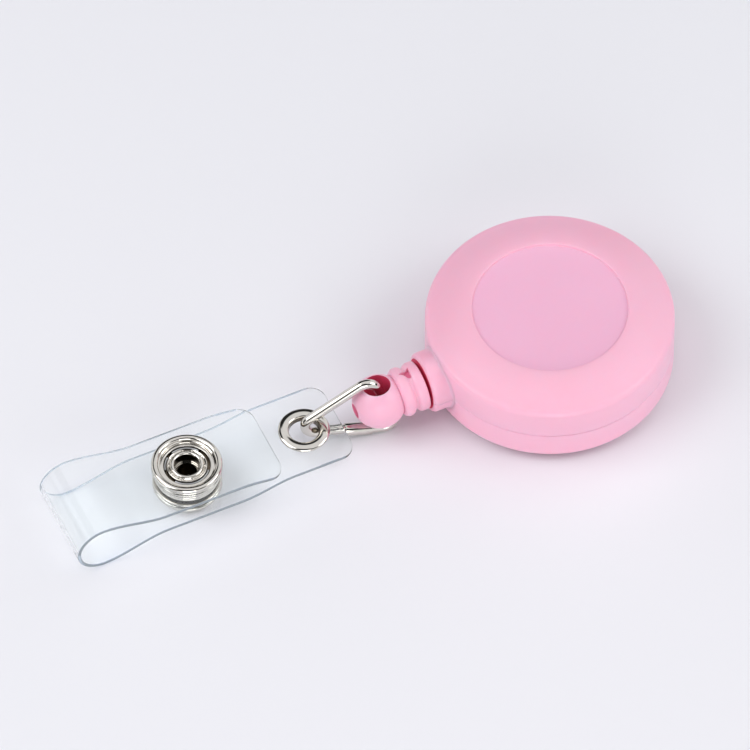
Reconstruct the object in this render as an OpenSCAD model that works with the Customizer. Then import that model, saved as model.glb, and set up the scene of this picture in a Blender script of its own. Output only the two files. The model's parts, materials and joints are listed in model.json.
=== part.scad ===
// Retractable badge reel: a round spring-wound cord reel with a belt clip on its back,
// a ball-shaped cord end fitting, a triangular wire ring and a clear snap-closed strap.
// Millimetres, +Z up. The origin is on the spool's axis, on the surface that the reel lies on,
// and the cord leaves along -X.

/* [Case] */
// Diameter of the round case
case_d = 32; // [30:0.5:36]
// Height of the case's underside above the surface, which the belt clip fills
clip_height = 1.6; // [1.5:0.1:2.4]
// Height of the join between the two shells
seam_z = 5.45; // [5.3:0.05:5.6]
// Height of the raised ring round the front recess
case_top_z = 11.6; // [11.4:0.1:13]
// Diameter of the recess that takes a label
recess_d = 20; // [12:0.5:24]
// Depth of that recess
recess_depth = 0.3; // [0.1:0.05:0.6]
// Thickness of the moulded walls
wall = 1.3; // [1.2:0.05:1.4]
// Outer diameter of the cord's collar
collar_d = 8.0; // [7:0.1:8.4]
// Distance of the collar's mouth from the spool's axis
collar_reach = 18.05; // [17.6:0.05:18.05]

/* [Reel] */
// Diameter of the cord
cord_d = 0.9; // [0.6:0.05:1.0]
// Diameter of the drum that the cord winds on
drum_d = 19; // [18:0.5:20]
// Outer diameter of the wound cord at rest
winding_d = 23; // [22:0.1:23.4]
// Diameter of the spool's flanges
flange_d = 28; // [26:0.1:28.4]
// Turns in the flat power spring
spring_turns = 11; // [6:1:13]

/* [End fitting] */
// Diameter of the ball
ball_d = 7.0; // [6.8:0.1:7.1]
// Diameter of the two grip rings
grip_ring_d = 6.56; // [6:0.02:6.8]
// Diameter of the cross hole that the wire ring runs through
cross_hole_d = 3.6; // [3.5:0.05:3.8]

/* [Wire ring] */
// Diameter of the wire
wire_d = 1.3; // [1.1:0.05:1.35]
// Radius of the wire's bend in the strap's eyelet
eyelet_bend_r = 1.4; // [1.35:0.05:1.5]
// Radius of the wire's other two bends
corner_bend_r = 1.5; // [1.3:0.05:1.6]

/* [Strap] */
// Width of the clear strap
strap_w = 12; // [11:0.5:13]
// Thickness of the strap
strap_t = 0.45; // [0.35:0.05:0.5]
// Radius of the fold, to the middle of the strap
loop_r = 3.4; // [3.2:0.1:3.5]
// Outer diameter of the snap fastener's top ring
snap_d = 9.2; // [8.6:0.1:9.6]
// Outer diameter of the eyelet's flange
eyelet_d = 6.7; // [6.2:0.1:7.2]

/* [Hidden] */

$fn = 96;
eps = 0.01;
// Length of the tools that cut right through
far = 80;

pink = "#f7c2d6";
nickel = "#c9c8c4";
steel = "#b4b6ba";
clear_vinyl = [0.80, 0.90, 0.97, 0.45];
cord_pink = "#f0b6cd";

// Case
case_r = case_d / 2;
case_z = clip_height;
floor_t = 1.2;
inner_r = case_r - wall;
bottom_round = 1.2;
rim_round = 0.9;
// How far the top falls from the recess to the rim
crown = 1.35;
recess_r = recess_d / 2;
recess_z = case_top_z - recess_depth;
lip_h = 0.9;
lip_t = 0.6;
lip_gap = 0.05;

// Arbor post and the boss that steadies it
post_r = 2.0;
post_top = recess_z - floor_t - 0.3;
boss_r = 3.4;
boss_bore = post_r + 0.1;
boss_h = 0.65;
post_slot = 0.5;

// Spool
spool_z = case_z + floor_t + 0.3;
flange_t = 0.6;
drum_r = drum_d / 2;
drum_t = 0.9;
flange_r = flange_d / 2;
winding_r = winding_d / 2;
flange_gap = 2 * (seam_z - spool_z - flange_t);
spring_z0 = spool_z + 0.8;
spring_h = 4.4;
cover_z = spring_z0 + spring_h + 0.2;
cover_t = 0.35;
running_gap = 0.08;
spring_t = 0.12;
spring_r0 = post_r + 0.35;
spring_r1 = drum_r - drum_t - 0.25;

// Cord
cord_r = cord_d / 2;
cord_bore = cord_r + 0.15;
collar_r = collar_d / 2;
collar_lip = 0.8;
funnel_x = -collar_reach + 1.5;
funnel_r = 3.1;
lead_r = winding_r + cord_r + 0.08;
lead_angle = 180 - acos(lead_r / -funnel_x);
lead_start = [lead_r * cos(lead_angle), lead_r * sin(lead_angle), seam_z];
lead_bend = [funnel_x, 0, seam_z];
lead_end = [-collar_reach + 0.6, 0, seam_z];

// End fitting: its centre, and how it lies
ball_c = [-24.2, -0.15, 5.35];
ball_r = ball_d / 2;
fitting_roll = -8;
fitting_droop = 3;
grip_r = grip_ring_d / 2;
grip_round = 0.45;
neck_r = 1.9;
// Each grip ring's two faces, from the ball's centre
grip_rings = [[2.5, 3.85], [4.5, 5.9]];
tip_hole_r = 0.75;
knot_r = 0.85;
knot_x = 2.45;
knot_pocket = [1.2, 3.4];
knot_pocket_r = 0.95;

// Wire ring: the corners that its three straight stretches would meet at
corner_eyelet = [-36.2, 2.0, 2.5];
corner_top = [-25.1, 0.3, 10.1];
corner_low = [-22.95, -1.2, wire_d / 2];
wire_r = wire_d / 2;
sleeve_r = 0.98;
sleeve_len = 3.1;
// Middle of the sleeve, as a share of the way from the eyelet's corner to the low one
sleeve_at = 0.6;
wire_butt_gap = 0.15;
ring_normal = unit(cross(corner_top - corner_eyelet, corner_low - corner_eyelet));

// Strap
strap_y = 0.9;
strap_end_x = -29.5;
eyelet_x = -34.3;
eyelet_z = 3.4;
eyelet_flat_x = -38.2;
snap_x = -50.7;
snap_flat = 5.2;
snap_base_z = 2.2;
snap_flap_z = 5.2;
loop_x = -65;
loop_low_z = strap_t / 2;
loop_top_z = loop_low_z + 2 * loop_r;
flap_end_x = -39.5;
flap_end_z = 4.45;
end_round = 2.0;
curve_steps = 10;

// Eyelet
eyelet_hole_r = 1.95;
eyelet_barrel_t = 0.25;
eyelet_flange_t = 0.35;
eyelet_washer_t = 0.3;

// Snap fastener
snap_r = snap_d / 2;
barrel_r = 1.95;
barrel_t = 0.3;
stud_head_r = 2.15;
stud_neck_r = 1.95;
stud_z = snap_base_z + strap_t / 2;
stud_top = 4.42;
stud_bore = 1.62;
post_barrel_r = 1.6;
socket_r = snap_r - 0.15;
socket_z = 3.15;
socket_top = snap_flap_z - strap_t / 2;
socket_roof = 0.4;
socket_mouth_r = 2.5;
groove_r = 3.1;
groove_z = [3.5, 4.1];
snap_wire_r = 0.22;

// Belt clip
clip_w = 9;
clip_t = 0.4;
clip_x0 = -12;
clip_x1 = 12;
clip_bend_r = (clip_height - clip_t) / 2;
// Angle left free at the root of the bend, where the tongue flexes
clip_flex = 14;
rivet_r = 0.9;
rivet_head_r = 2.0;
rivet_head_h = 0.3;
rivet_top = 3.7;

// Points along an arc about c, from angle a0 to a1
function arc(c, r, a0, a1, n = 8) =
    [for (i = [0:n]) let (a = a0 + (a1 - a0) * i / n) [c.x + r * cos(a), c.y + r * sin(a)]];

// A smooth step from 0 to 1
function ease(t) = t * t * (3 - 2 * t);

// Points of a smooth curve from p to q that is level at both ends
function s_curve(p, q, n = curve_steps) =
    [for (i = [0:n]) [p.x + (q.x - p.x) * i / n, p.y + (q.y - p.y) * ease(i / n)]];

function reversed(list) = [for (i = [len(list) - 1:-1:0]) list[i]];

// A band of thickness t about a line of [x, z] points
function band(line, t) =
    concat([for (p = line) [p.x, p.y + t / 2]], [for (p = reversed(line)) [p.x, p.y - t / 2]]);

// Outline of a rectangle from a to b with its corners rounded by r0 at the low x and r1 at the high x
function rounded_box(a, b, r0, r1) = concat(
    arc([a.x + r0, a.y + r0], r0, 180, 270),
    arc([b.x - r1, a.y + r1], r1, 270, 360),
    arc([b.x - r1, b.y - r1], r1, 0, 90),
    arc([a.x + r0, b.y - r0], r0, 90, 180));

function unit(v) = v / norm(v);

// Turns children's +Z to point along d
module along(d) {
    rotate([0, acos(d.z / norm(d)), atan2(d.y, d.x)]) children();
}

// A round rod swept along a path of points, whose sides keep square to the normal given
module sweep(path, r, sides, normal) {
    last = len(path) - 1;
    rings = [for (i = [0:last])
        let (d = unit(path[min(i + 1, last)] - path[max(i - 1, 0)]),
            side = unit(cross(normal, d)), up = cross(d, side))
        for (k = [0:sides - 1]) let (a = 360 * k / sides)
            path[i] + r * (side * cos(a) + up * sin(a))];
    walls = [for (i = [0:last - 1], k = [0:sides - 1])
        let (n = (k + 1) % sides, p = i * sides)
        [p + k, p + sides + k, p + sides + n, p + n]];
    ends = [[for (k = [0:sides - 1]) k], [for (k = [sides - 1:-1:0]) last * sides + k]];
    polyhedron(points = rings, faces = concat(walls, ends), convexity = 6);
}

// A tube about Z
module tube(r_out, r_in, z0, z1) {
    translate([0, 0, z0]) difference() {
        cylinder(r = r_out, h = z1 - z0);
        translate([0, 0, -eps]) cylinder(r = r_in, h = z1 - z0 + 2 * eps);
    }
}

// ---- Case ----

// The front shell's section, from the join up over the rim to the recess and back inside
module front_section() {
    rim_z = case_top_z - crown;
    polygon(concat(
        [[inner_r + lip_t + lip_gap, seam_z], [case_r, seam_z]],
        arc([case_r - rim_round, rim_z - rim_round], rim_round, 0, 80),
        [[recess_r + 0.25, case_top_z], [recess_r, case_top_z - 0.08], [recess_r - 0.05, recess_z]],
        [[0, recess_z], [0, recess_z - floor_t], [recess_r, recess_z - floor_t], [inner_r - 1, rim_z - floor_t]],
        arc([inner_r - 1, rim_z - floor_t - 1], 1, 90, 0),
        [[inner_r, seam_z + lip_h + lip_gap], [inner_r + lip_t + lip_gap, seam_z + lip_h + lip_gap]]));
}

// The back shell's section, with the lip that registers it in the front shell
module back_section() {
    polygon(concat(
        [[0, case_z]],
        arc([case_r - bottom_round, case_z + bottom_round], bottom_round, -90, 0),
        [[case_r, seam_z], [inner_r + lip_t, seam_z], [inner_r + lip_t, seam_z + lip_h]],
        [[inner_r, seam_z + lip_h], [inner_r, case_z + floor_t + 0.6]],
        arc([inner_r - 0.6, case_z + floor_t + 0.6], 0.6, 0, -90, 4),
        [[0, case_z + floor_t]]));
}

// The collar, a round nozzle about the cord's line with a rounded lip and a flared root
module collar_body() {
    root_x = case_r - wall - 0.1;
    translate([0, 0, seam_z]) rotate([0, -90, 0]) rotate_extrude()
        polygon(concat(
            [[0, root_x]],
            [[collar_r + 0.9, root_x]],
            arc([collar_r + 0.9, case_r + 0.6], 0.9, 240, 180, 6),
            arc([collar_r - collar_lip, collar_reach - collar_lip], collar_lip, 0, 90),
            [[0, collar_reach]]));
}

// The passage that the cord takes through the wall and the collar
module cord_passage() {
    translate([0, 0, seam_z]) rotate([0, -90, 0]) rotate_extrude()
        polygon(concat(
            [[0, inner_r - 2.2], [funnel_r, inner_r - 2.2], [funnel_r, inner_r]],
            [[cord_bore, -funnel_x]],
            arc([cord_bore + 0.5, collar_reach - 0.5], 0.5, 180, 90, 5),
            [[cord_bore + 0.5, collar_reach + 1], [0, collar_reach + 1]]));
}

// Keeps what lies above the join, or below it
module above_join(above) {
    intersection() {
        children();
        translate([-far, -far / 2, above ? seam_z : seam_z - far]) cube([far, far, far]);
    }
}

// The collar's half without what would stand inside the shell
module collar_half(above) {
    difference() {
        above_join(above) collar_body();
        cylinder(r = inner_r + lip_t + lip_gap, h = far, center = true);
    }
}

module front_case() {
    color(pink) difference() {
        union() {
            rotate_extrude() front_section();
            collar_half(true);
            tube(boss_r, boss_bore, recess_z - floor_t - boss_h, recess_z - floor_t + 0.2);
        }
        cord_passage();
    }
}

module back_case() {
    color(pink) difference() {
        union() {
            rotate_extrude() back_section();
            collar_half(false);
            translate([0, 0, case_z + floor_t / 2]) cylinder(r = post_r, h = post_top - case_z - floor_t / 2);
        }
        cord_passage();
        // Slot that holds the power spring's inner end
        translate([-post_slot / 2, -post_r - 1, spring_z0 - 0.2]) cube([post_slot, 2 * post_r + 2, far]);
        translate([0, 0, case_z - eps]) cylinder(r = rivet_r, h = rivet_top - case_z + 2 * eps);
    }
}

// ---- Reel ----

module spool() {
    top_z = seam_z + flange_gap / 2;
    notch = 1.6;
    color("#e9e6e0") difference() {
        union() {
            tube(flange_r, post_r + running_gap, spool_z, spool_z + flange_t);
            tube(flange_r, drum_r - eps, top_z, top_z + flange_t);
            tube(drum_r, drum_r - drum_t, spool_z + eps, cover_z);
        }
        // Notch that holds the cord's inner knot
        translate([drum_r - drum_t - eps, -notch / 2, seam_z - notch / 2]) cube([drum_t + 1, notch, notch]);
        // Slot for the power spring's outer hook
        rotate(90) translate([drum_r - drum_t - eps, -0.3, spring_z0 - 0.1])
            cube([drum_t / 2, 0.6, far]);
    }
}

module spring_cover() {
    color(steel) tube(drum_r - 0.05, post_r + running_gap, cover_z, cover_z + cover_t);
}

// The flat spiral of the power spring, with its inner tab in the post and its outer hook in the drum
module power_spring() {
    steps = 20 * spring_turns;
    line = [for (i = [0:steps])
        let (t = i / steps, r = spring_r0 + (spring_r1 - spring_r0) * t, a = 90 + 360 * spring_turns * t)
        [r * cos(a), r * sin(a)]];
    inner = [for (i = [0:steps]) line[i] - spring_t * unit(line[i])];
    color(steel) translate([0, 0, spring_z0]) linear_extrude(spring_h) union() {
        polygon(concat(line, reversed(inner)));
        translate([-spring_t / 2, -post_r * 0.8]) square([spring_t, post_r * 0.8 + spring_r0]);
        translate([-spring_t / 2, spring_r1 - spring_t]) square([spring_t, drum_r - drum_t * 0.6 - spring_r1]);
    }
}

module cord_winding() {
    color(cord_pink) tube(winding_r, drum_r + 0.02, spool_z + flange_t + 0.02, seam_z + flange_gap / 2 - 0.02);
}

module cord_anchor_knot() {
    color(cord_pink) translate([drum_r - drum_t / 2 - 0.03, 0, seam_z]) sphere(r = 0.42, $fn = 32);
}

module cord_lead() {
    color(cord_pink) sweep(concat(
        [lead_start],
        bend_points(lead_start, lead_bend, lead_end, 1.0, 4),
        [lead_end]), cord_r, 12, [0, 0, 1]);
}

// A point on the fitting's bore, d from the ball's centre
function in_bore(d) = ball_c + d * [cos(fitting_droop), 0, sin(fitting_droop)];

// Moves children from the fitting's own frame, with its axis along +X, to where it lies
module in_fitting() {
    translate(ball_c) rotate([fitting_roll, -fitting_droop, 0]) children();
}

// The stretch of cord that pays out, from the collar's mouth to the knot in the fitting
module cord_span() {
    color(cord_pink) sweep([
        lead_end - [eps, 0, 0],
        lead_end - [0.2, 0, 0],
        in_bore(grip_rings[1][1] - 0.1),
        in_bore(grip_rings[1][1] - 0.6),
        in_bore(knot_x + knot_r)
    ], cord_r, 12, [0, 0, 1]);
}

module cord_end_knot() {
    color(cord_pink) in_fitting() translate([knot_x, 0, 0]) sphere(r = knot_r, $fn = 32);
}

// ---- End fitting ----

// One grip ring with rounded edges, between two planes across the fitting's axis
module grip_ring(faces) {
    rotate([0, 90, 0]) rotate_extrude() polygon(concat(
        [[0, faces[0]]],
        arc([grip_r - grip_round, faces[0] + grip_round], grip_round, -90, 0),
        arc([grip_r - grip_round, faces[1] - grip_round], grip_round, 0, 90),
        [[0, faces[1]]]));
}

module cord_end_fitting() {
    color(pink) in_fitting() difference() {
        union() {
            sphere(r = ball_r);
            for (faces = grip_rings) grip_ring(faces);
            rotate([0, 90, 0]) cylinder(r = neck_r, h = grip_rings[1][1] - 0.2);
        }
        cylinder(d = cross_hole_d, h = far, center = true);
        rotate([0, 90, 0]) cylinder(r = cord_bore, h = far);
        rotate([0, -90, 0]) cylinder(r = tip_hole_r, h = far);
        translate([knot_pocket[0], 0, 0]) rotate([0, 90, 0])
            cylinder(r = knot_pocket_r, h = knot_pocket[1] - knot_pocket[0]);
    }
}

// ---- Wire ring ----

// Points of a round bend of radius r at p, between straights that come from a and go to b
function bend_points(a, p, b, r, n = 8) =
    let (u = unit(a - p), v = unit(b - p), corner = acos(u * v), turn = 180 - corner,
        centre = p + unit(u + v) * r / sin(corner / 2), out = -unit(u + v), side = unit(v - u))
    [for (i = [0:n]) let (t = turn * (i / n - 0.5)) centre + r * (out * cos(t) + side * sin(t))];

// The wire as one bent rod whose two ends meet inside the sleeve
module wire_ring() {
    middle = corner_eyelet + (corner_low - corner_eyelet) * sleeve_at;
    half_gap = unit(corner_low - corner_eyelet) * wire_butt_gap / 2;
    color(nickel) sweep(concat(
        [middle + half_gap],
        bend_points(corner_eyelet, corner_low, corner_top, corner_bend_r),
        bend_points(corner_low, corner_top, corner_eyelet, corner_bend_r),
        bend_points(corner_top, corner_eyelet, corner_low, eyelet_bend_r, 12),
        [middle - half_gap]), wire_r, 16, ring_normal);
}

// Moves children to the middle of the sleeve, with +Z along the wire
module in_sleeve() {
    translate(corner_eyelet + (corner_low - corner_eyelet) * sleeve_at)
        along(corner_low - corner_eyelet) children();
}

module ring_sleeve() {
    color(nickel) in_sleeve() tube(sleeve_r, wire_r + 0.02, -sleeve_len / 2, sleeve_len / 2);
}

// ---- Strap ----

// A strip of the strap, from its line of [x, z] points
module strip(line) {
    translate([0, strap_y + strap_w / 2, 0]) rotate([90, 0, 0]) linear_extrude(strap_w) polygon(band(line, strap_t));
}

// Plan outline that rounds the strap's end corners
module strap_outline(x0, x1, r0, r1) {
    translate([0, 0, -1]) linear_extrude(20)
        polygon(rounded_box([x0, strap_y - strap_w / 2], [x1, strap_y + strap_w / 2], r0, r1));
}

module strap_base() {
    line = concat(
        [[strap_end_x, eyelet_z]],
        s_curve([eyelet_flat_x, eyelet_z], [snap_x + snap_flat, snap_base_z]),
        s_curve([snap_x - snap_flat, snap_base_z], [loop_x, loop_low_z]));
    color(clear_vinyl) difference() {
        intersection() {
            strip(line);
            strap_outline(loop_x, strap_end_x, 0.01, end_round);
        }
        translate([eyelet_x, strap_y, 0]) cylinder(r = eyelet_hole_r + eyelet_barrel_t, h = 20);
        translate([snap_x, strap_y, 0]) cylinder(r = post_barrel_r, h = 20);
    }
}

module strap_loop() {
    centre = [loop_x, loop_low_z + loop_r];
    color(clear_vinyl) translate([0, strap_y + strap_w / 2, 0]) rotate([90, 0, 0]) linear_extrude(strap_w)
        polygon(concat(
            arc(centre, loop_r + strap_t / 2, 90, 270, 28),
            arc(centre, loop_r - strap_t / 2, 270, 90, 28)));
}

module strap_flap() {
    line = concat(
        s_curve([loop_x, loop_top_z], [snap_x - snap_flat, snap_flap_z]),
        s_curve([snap_x + snap_flat, snap_flap_z], [flap_end_x, flap_end_z]));
    color(clear_vinyl) difference() {
        intersection() {
            strip(line);
            strap_outline(loop_x, flap_end_x, 0.01, end_round);
        }
        translate([snap_x, strap_y, 0]) cylinder(r = barrel_r, h = 20);
    }
}

// ---- Eyelet ----

module at_eyelet() {
    translate([eyelet_x, strap_y, 0]) children();
}

module eyelet() {
    face = eyelet_z + strap_t / 2;
    outer = eyelet_hole_r + eyelet_barrel_t;
    low = eyelet_z - strap_t / 2 - eyelet_washer_t;
    color(nickel) at_eyelet() rotate_extrude() polygon(concat(
        [[eyelet_hole_r, low], [outer, low], [outer, face], [eyelet_d / 2, face]],
        arc([eyelet_d / 2 - 0.3, face + 0.05], 0.3, 0, 90, 6),
        arc([eyelet_hole_r + 0.3, face + 0.05], 0.3, 90, 180, 6)));
}

module eyelet_washer() {
    low = eyelet_z - strap_t / 2 - eyelet_washer_t;
    color(nickel) at_eyelet()
        tube(eyelet_d / 2 - 0.2, eyelet_hole_r + eyelet_barrel_t, low, low + eyelet_washer_t);
}

// ---- Snap fastener ----

module at_snap() {
    translate([snap_x, strap_y, 0]) children();
}

// Top ring on the flap: a rolled rim, a trough and a hub ring round the hole, with a barrel below
module snap_cap() {
    face = snap_flap_z + strap_t / 2;
    rim_r = 0.45;
    hub_r = 0.3;
    hole_r = barrel_r - barrel_t;
    color(nickel) at_snap() rotate_extrude() polygon(concat(
        [[hole_r, socket_top - socket_roof], [barrel_r, socket_top - socket_roof], [barrel_r, face]],
        [[snap_r, face]],
        arc([snap_r - rim_r, face + 0.4], rim_r, 0, 160, 10),
        [[snap_r - 1.3, face + 0.3], [hole_r + 2 * hub_r + 0.45, face + 0.3]],
        arc([hole_r + hub_r, face + 0.45], hub_r, 0, 180, 8)));
}

module snap_socket() {
    color(nickel) at_snap() rotate_extrude() polygon([
        [barrel_r, socket_top], [barrel_r, socket_top - socket_roof], [socket_mouth_r, socket_top - socket_roof],
        [socket_mouth_r, groove_z[1]], [groove_r, groove_z[1]], [groove_r, groove_z[0]],
        [socket_mouth_r, groove_z[0]], [socket_mouth_r, socket_z], [groove_r + 0.4, socket_z],
        [groove_r + 0.7, socket_z + 0.3], [socket_r - 0.3, socket_top - 0.6], [socket_r, socket_top - 0.3],
        [socket_r, socket_top]]);
}

module snap_spring() {
    color(steel) at_snap() translate([0, 0, (groove_z[0] + groove_z[1]) / 2])
        rotate(30) rotate_extrude(angle = 300) translate([socket_mouth_r + 0.08, 0]) circle(r = snap_wire_r, $fn = 24);
}

module snap_stud() {
    color(nickel) at_snap() rotate_extrude() polygon(concat(
        [[stud_bore, stud_z], [socket_r, stud_z], [socket_r, stud_z + 0.2], [socket_r - 0.4, stud_z + 0.35]],
        [[stud_neck_r + 0.2, stud_z + 0.35], [stud_neck_r, stud_z + 0.7], [stud_neck_r, groove_z[1] - 0.2]],
        [[stud_head_r, groove_z[1] - 0.05]],
        arc([stud_head_r - 0.35, stud_top - 0.35], 0.35, 20, 90, 5),
        [[stud_bore, stud_top]]));
}

// Eyelet under the strap's lower layer, whose barrel holds the stud
module snap_post() {
    skin = 0.4;
    dome_z = stud_z - strap_t;
    bore = post_barrel_r - barrel_t;
    color(nickel) at_snap() rotate_extrude() polygon([
        [bore, skin], [bore, stud_top - 0.3], [post_barrel_r, stud_top - 0.3],
        [post_barrel_r, dome_z], [snap_r - 0.3, dome_z], [snap_r - 0.1, dome_z - 0.25],
        [snap_r - 0.25, dome_z - 0.6], [snap_r - 1.2, 0.15], [snap_r - 1.6, 0], [0, 0], [0, skin]]);
}

// ---- Belt clip ----

module clip_plate() {
    plate_z = clip_height - clip_t;
    color(steel) difference() {
        translate([0, 0, plate_z]) linear_extrude(clip_t)
            polygon(rounded_box([clip_x0 + 2, -clip_w / 2], [clip_x1, clip_w / 2], 2, 0.01));
        cylinder(r = rivet_r, h = far);
    }
}

// The bend and the tongue that a belt or pocket slides in behind
module clip_tongue() {
    bend_c = [clip_x1, clip_t / 2 + clip_bend_r];
    color(steel) {
        linear_extrude(clip_t)
            polygon(rounded_box([clip_x0, -clip_w / 2], [clip_x1, clip_w / 2], 3, 0.01));
        translate([0, clip_w / 2, 0]) rotate([90, 0, 0]) linear_extrude(clip_w) polygon(concat(
            [[clip_x1 - eps, 0]],
            arc(bend_c, clip_bend_r + clip_t / 2, -90, 90 - clip_flex, 16),
            arc(bend_c, clip_bend_r - clip_t / 2, 90 - clip_flex, -90, 16),
            [[clip_x1 - eps, clip_t]]));
    }
}

module clip_rivet() {
    head_z = clip_height - clip_t - rivet_head_h;
    color(steel) {
        translate([0, 0, head_z]) cylinder(r1 = rivet_head_r - 0.3, r2 = rivet_head_r, h = rivet_head_h);
        translate([0, 0, head_z]) cylinder(r = rivet_r, h = rivet_top - head_z);
    }
}

front_case();
back_case();
spool();
spring_cover();
power_spring();
cord_winding();
cord_anchor_knot();
cord_lead();
cord_span();
cord_end_knot();
cord_end_fitting();
wire_ring();
ring_sleeve();
strap_base();
strap_loop();
strap_flap();
eyelet();
eyelet_washer();
snap_cap();
snap_socket();
snap_spring();
snap_stud();
snap_post();
clip_plate();
clip_tongue();
clip_rivet();
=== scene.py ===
"""Looks of the retractable badge reel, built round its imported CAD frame.

Lengths are metres, written as millimetres times MM.
"""

import json
import math

import bmesh
import bpy
from mathutils import Matrix, Vector


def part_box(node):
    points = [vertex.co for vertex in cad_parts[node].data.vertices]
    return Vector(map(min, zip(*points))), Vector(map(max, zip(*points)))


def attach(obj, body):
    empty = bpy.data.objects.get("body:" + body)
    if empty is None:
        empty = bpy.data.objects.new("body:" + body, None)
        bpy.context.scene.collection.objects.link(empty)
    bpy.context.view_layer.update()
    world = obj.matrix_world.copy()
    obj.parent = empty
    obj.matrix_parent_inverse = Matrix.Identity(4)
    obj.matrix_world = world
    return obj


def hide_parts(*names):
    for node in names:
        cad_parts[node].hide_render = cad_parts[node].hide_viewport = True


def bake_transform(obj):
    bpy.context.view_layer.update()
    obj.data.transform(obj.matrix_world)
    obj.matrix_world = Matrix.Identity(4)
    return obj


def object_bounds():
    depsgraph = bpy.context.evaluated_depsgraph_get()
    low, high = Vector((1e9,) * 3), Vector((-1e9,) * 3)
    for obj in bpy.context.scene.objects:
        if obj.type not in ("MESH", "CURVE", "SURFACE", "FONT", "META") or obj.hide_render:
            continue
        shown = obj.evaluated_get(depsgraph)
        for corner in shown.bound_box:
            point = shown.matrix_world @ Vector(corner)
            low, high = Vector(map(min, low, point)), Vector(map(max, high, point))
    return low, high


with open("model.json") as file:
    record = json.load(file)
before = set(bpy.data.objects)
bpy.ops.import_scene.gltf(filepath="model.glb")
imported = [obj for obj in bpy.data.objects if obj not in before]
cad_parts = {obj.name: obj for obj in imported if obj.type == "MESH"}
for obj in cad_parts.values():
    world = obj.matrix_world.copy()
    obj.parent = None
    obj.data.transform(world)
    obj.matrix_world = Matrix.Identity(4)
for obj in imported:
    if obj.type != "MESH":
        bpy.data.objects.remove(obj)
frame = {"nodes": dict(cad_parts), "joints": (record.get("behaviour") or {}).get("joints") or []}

MM = 0.001
TAU = 2 * math.pi
CAD_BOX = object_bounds()
JOINTS = {j["name"]: j for j in frame["joints"]}
# These turn a lathe's axis from +Z to +X and to -X
ALONG_X = Matrix.Rotation(math.pi / 2, 4, "Y")
ALONG_MINUS_X = Matrix.Rotation(-math.pi / 2, 4, "Y")


def joint_place(name):
    """A hinge's point and its unit axis."""
    joint = JOINTS[name]
    return Vector(joint["pos_m"]), Vector(joint["axis"]).normalized()


# ---- Places and sizes, from the CAD frame ----

front_lo, front_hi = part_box("front_case")
back_lo, back_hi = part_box("back_case")
CASE_R = front_hi.y
SEAM_Z = front_lo.z
TOP_Z = front_hi.z
BASE_Z = back_lo.z
COLLAR_X = front_lo.x
WALL = 1.3 * MM
RECESS_R = 10 * MM
RECESS_DEPTH = 0.3 * MM
# How far the case's domed top stands above its rim
CROWN = 1.35 * MM
FLOOR_T = 1.2 * MM
# Width of the overlap between the two shells, and its height above the seam
JOIN_W = 0.6 * MM
JOIN_H = 0.9 * MM
JOIN_PLAY = 0.05 * MM
# Half of the gap that shows between the two shells
SEAM_GROOVE = 0.03 * MM
# Small rounding of the moulded edges
SOFT_EDGE = 0.12 * MM
COLLAR_R = 4.0 * MM
BORE_R = 0.6 * MM

BALL_C, FIT_AXIS = joint_place("fitting_turn")
# How far the fitting is turned about its own axis
FIT_ROLL = math.radians(-8)
BALL_R = 3.5 * MM
GRIP_R = 3.28 * MM
CORD_R = 0.45 * MM
# Radii of the fitting's cross hole, of the hole in the ball's end and of the pocket for the knot
HOLE_R = 1.8 * MM
TIP_R = 1.0 * MM
POCKET_R = 0.95 * MM

TOP_CORNER, RING_AXIS = joint_place("ring_swing")
EYELET_BEND, RING_NORMAL = joint_place("strap_tilt")
WIRE_R = 0.65 * MM
EYELET_BEND_R = 1.4 * MM
CORNER_BEND_R = 1.5 * MM
# How far past its place under the top corner the ring's low corner reaches
LOW_CORNER_REACH = 1.3 * MM

base_lo, base_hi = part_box("strap_base")
flap_end_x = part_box("strap_flap")[1].x
loop_lo, loop_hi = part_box("strap_loop")
STRAP_T = 0.45 * MM
# Radii of the strap's holes for the eyelet, the stud and the cap
EYELET_HOLE_R = 2.2 * MM
STUD_HOLE_R = 1.6 * MM
CAP_HOLE_R = 3.2 * MM
STUD_BORE_R = 1.64 * MM
STRAP_Y = (base_lo.y + base_hi.y) / 2
STRAP_W = base_hi.y - base_lo.y
LOOP_X = loop_hi.x
LOOP_R = (loop_hi.z - loop_lo.z - STRAP_T) / 2

cap_lo, cap_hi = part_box("snap_cap")
SNAP = (cap_lo + cap_hi) / 2
SNAP_R = (cap_hi.x - cap_lo.x) / 2
eye_lo, eye_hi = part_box("eyelet")
EYELET = (eye_lo + eye_hi) / 2
EYELET_R = (eye_hi.x - eye_lo.x) / 2


# ---- Mesh helpers ----

def new_object(name, bm, smooth_angle=35):
    """A mesh object from bm, shaded smooth except across edges sharper than the angle, in degrees."""
    bmesh.ops.remove_doubles(bm, verts=bm.verts, dist=1e-7)
    bmesh.ops.recalc_face_normals(bm, faces=bm.faces)
    mesh = bpy.data.meshes.new(name)
    bm.to_mesh(mesh)
    bm.free()
    obj = bpy.data.objects.new(name, mesh)
    bpy.context.scene.collection.objects.link(obj)
    shade(obj, smooth_angle)
    return obj


def shade(obj, smooth_angle=35):
    """Smooth shading, with edges sharper than the angle kept crisp."""
    limit = math.radians(smooth_angle)
    for polygon in obj.data.polygons:
        polygon.use_smooth = True
    bm = bmesh.new()
    bm.from_mesh(obj.data)
    for edge in bm.edges:
        sharp = len(edge.link_faces) == 2 and edge.calc_face_angle(0) > limit
        edge.smooth = not sharp
    bm.to_mesh(obj.data)
    bm.free()


def arc(cx, cy, r, a0, a1, n=8):
    """Points of an arc about (cx, cy), angles in degrees."""
    angles = [math.radians(a0 + (a1 - a0) * i / n) for i in range(n + 1)]
    return [(cx + r * math.cos(a), cy + r * math.sin(a)) for a in angles]


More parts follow.
